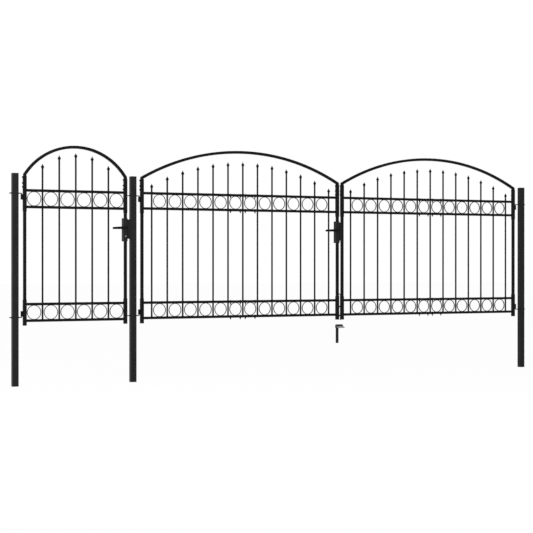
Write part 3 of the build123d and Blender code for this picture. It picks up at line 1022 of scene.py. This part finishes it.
def slab_along_x(mesh, x_span, corners):
    """A slab between two places along X, with its side outline given by corners of Y and Z."""
    skin(mesh, [[Vector((x, y, z)) for y, z in corners] for x in x_span])


def stop_outline(low, high, lip_foot):
    """The front of the stake and its lip, which has rounded shoulders."""
    leg_left = (low.x + high.x) / 2 - stop_leg_offset - stop_leg_width / 2
    leg_right = leg_left + stop_leg_width
    outline = [(leg_left, low.z), (leg_right, low.z), (leg_right, lip_foot), (high.x, lip_foot)]
    centre_z = high.z - stop_corner_radius
    right_shoulder = (high.x - stop_corner_radius, 0)
    left_shoulder = (low.x + stop_corner_radius, math.pi / 2)
    for centre_x, start_turn in (right_shoulder, left_shoulder):
        for step in range(stop_corner_steps + 1):
            turn = start_turn + math.pi / 2 * step / stop_corner_steps
            x = centre_x + stop_corner_radius * math.cos(turn)
            outline.append((x, centre_z + stop_corner_radius * math.sin(turn)))
    return [*outline, (low.x, lip_foot), (leg_left, lip_foot)]


def ground_stop():
    """A stake with its lip and two cheeks, with eased edges."""
    mesh = bmesh.new()
    low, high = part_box("ground_stop")
    seat_y = high.y - stop_plate
    ramp_top = high.z - stop_lip_height
    ramp_foot = ramp_top - ramp_rise
    outline = stop_outline(low, high, ramp_foot)
    skin(mesh, [[Vector((x, y, z)) for x, z in outline] for y in (seat_y, high.y)])
    cheek = ((seat_y, ramp_top), (seat_y, ramp_foot), (low.y, ramp_foot))
    slab_along_x(mesh, (low.x, low.x + cheek_thickness), cheek)
    slab_along_x(mesh, (high.x - cheek_thickness, high.x), cheek)
    ease_creases(mesh, small_ease)
    finish_piece("ground_stop_stake", mesh, "frame", "black_powder_coat", ("ground_stop",))


def stop_ramp():
    """The sloping plate between the cheeks, with eased edges."""
    mesh = bmesh.new()
    low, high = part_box("ground_stop_ramp")
    under_y = high.y - (1 - ramp_thickness / ramp_rise) * (high.y - low.y)
    side = ((high.y, high.z), (high.y, high.z - ramp_thickness), (under_y, low.z), (low.y, low.z))
    slab_along_x(mesh, (low.x, high.x), side)
    ease_creases(mesh, small_ease)
    finish_piece("ground_stop_sloped_plate", mesh, "frame", "bare_zinc", ("ground_stop_ramp",))


# Posts' caps: height over the post, side and corner radius
cap_rows = (
    (0, 0.050, 0.004),
    (0.0024, 0.050, 0.004),
    (0.0032, 0.049, 0.0037),
    (0.0037, 0.047, 0.003),
    (0.004, 0.030, 0.002),
)


def post_cap(side):
    """A push-in cap with an eased and slightly crowned top."""
    mesh = bmesh.new()
    node = f"{side}_post_cap"
    low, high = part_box(node)
    foot = Vector(((low.x + high.x) / 2, 0, high.z - cap_rows[-1][0]))
    rows = []
    for height, width, corner in cap_rows:
        outline = rounded_box_outline(width, width, corner)
        rows.append(laid(outline, foot + along_z * height, along_x, along_y))
    skin(mesh, rows)
    finish_piece(f"{side}_eased_cap", mesh, "frame", "black_plastic", (node,))


for leaf in leaves:
    leaf_frame(leaf)
    leaf_sleeves(leaf)
    grille_band(leaf, "top_band")
    grille_band(leaf, "bottom_band")
    leaf_pickets(leaf)
    hinge_hooks(leaf)
    hinge_barrels(leaf)
    sleeve_bolts(leaf)
rail_joints(left_leaf)
rail_joints(right_leaf)
for leaf in (wicket, left_leaf):
    lock_case(leaf)
    lock_trim(leaf)
    lever_pair(leaf)
key_cylinder(wicket, "key_cylinder_metal")
key_cylinder(left_leaf, "dark_steel")
keeper("wicket_keeper", "frame")
keeper("right_leaf_keeper", "right_leaf")
bolt_guides()
drop_bolt()
ground_stop()
stop_ramp()
for side in ("left", "middle", "right"):
    post_cap(side)

for subpart in frame["record"]["subparts"]:
    node = frame["nodes"][subpart["node"]]
    node.data.materials.clear()
    node.data.materials.append(finishes[subpart["material_slot"]])


# Stage: a white floor that keeps a soft shadow, a white surround and a broad soft key
floor_reach = 60
floor_tone = (0.9, 0.9, 0.9, 1)
floor_whiteness = 0.94
white = (1, 1, 1, 1)
surround_light = 0.8
key_width = 5
key_height = 3
key_power = 220
key_place = Vector((-3.0, -5.0, 3.5))
key_aim = Vector((2.5, 0, 1))

# The camera as fitted to the photograph: the lens in millimetres, the rest in metres and degrees
camera_sensor = 36
camera_lens = 96.554
camera_sight = 200
camera_place = Vector((-4.37113, -11.41873, 0.99688))
camera_dip = 0.0659
camera_turn = 26.2868


def shown_as_background(wire):
    """1 for what the camera sees, straight, in a reflection or through something clear, and 0 for light."""
    seen = wire.add("ShaderNodeLightPath", output="Is Camera Ray")
    shiny = wire.add("ShaderNodeLightPath", output="Is Glossy Ray")
    clear = wire.add("ShaderNodeLightPath", output="Is Transmission Ray")
    return wire.maths("MINIMUM", seen + shiny + clear, 1)


def studio_floor():
    """A broad pale floor, near white to the camera and in reflections."""
    data = bpy.data.meshes.new("studio_floor")
    signs = ((-1, -1), (1, -1), (1, 1), (-1, 1))
    corners = [(floor_reach * x, floor_reach * y, 0) for x, y in signs]
    data.from_pydata(corners, [], [(0, 1, 2, 3)])
    material, wire = start_finish("studio_floor")
    pale = wire.add("ShaderNodeBsdfDiffuse", None, {"Color": floor_tone})
    bright = wire.add("ShaderNodeEmission", None, {"Color": white, "Strength": 1.0})
    share = shown_as_background(wire) * floor_whiteness
    end_finish(wire, wire.add("ShaderNodeMixShader", None, {0: share, 1: pale, 2: bright}))
    data.materials.append(material)
    floor = bpy.data.objects.new("studio_floor", data)
    bpy.context.scene.collection.objects.link(floor)


def white_surround():
    """White to the camera and in reflections, and softer as a light."""
    world = bpy.data.worlds.new("white_surround")
    world.use_nodes = True
    world.node_tree.nodes.clear()
    wire = Wire(world.node_tree)
    strength = surround_light + (1 - surround_light) * shown_as_background(wire)
    background = wire.add("ShaderNodeBackground", None, {"Color": white, "Strength": strength})
    wire.add("ShaderNodeOutputWorld", None, {"Surface": background})
    bpy.context.scene.world = world


def soft_key():
    """A broad lamp above and to the left of the camera."""
    lamp = bpy.data.lights.new("soft_key", "AREA")
    lamp.shape = "RECTANGLE"
    lamp.size = key_width
    lamp.size_y = key_height
    lamp.energy = key_power
    key = bpy.data.objects.new("soft_key", lamp)
    key.location = key_place
    key.rotation_euler = (key_aim - key_place).to_track_quat("-Z", "Y").to_euler()
    bpy.context.scene.collection.objects.link(key)


def photo_camera():
    """The photograph's camera, in a square frame."""
    lens = bpy.data.cameras.new("photo_camera")
    lens.sensor_width = camera_sensor
    lens.lens = camera_lens
    lens.clip_end = camera_sight
    camera = bpy.data.objects.new("photo_camera", lens)
    camera.location = camera_place
    camera.rotation_euler = (math.radians(90 - camera_dip), 0, math.radians(-camera_turn))
    bpy.context.scene.collection.objects.link(camera)
    bpy.context.scene.camera = camera


studio_floor()
white_surround()
soft_key()
photo_camera()
bpy.context.scene.view_settings.view_transform = "Standard"
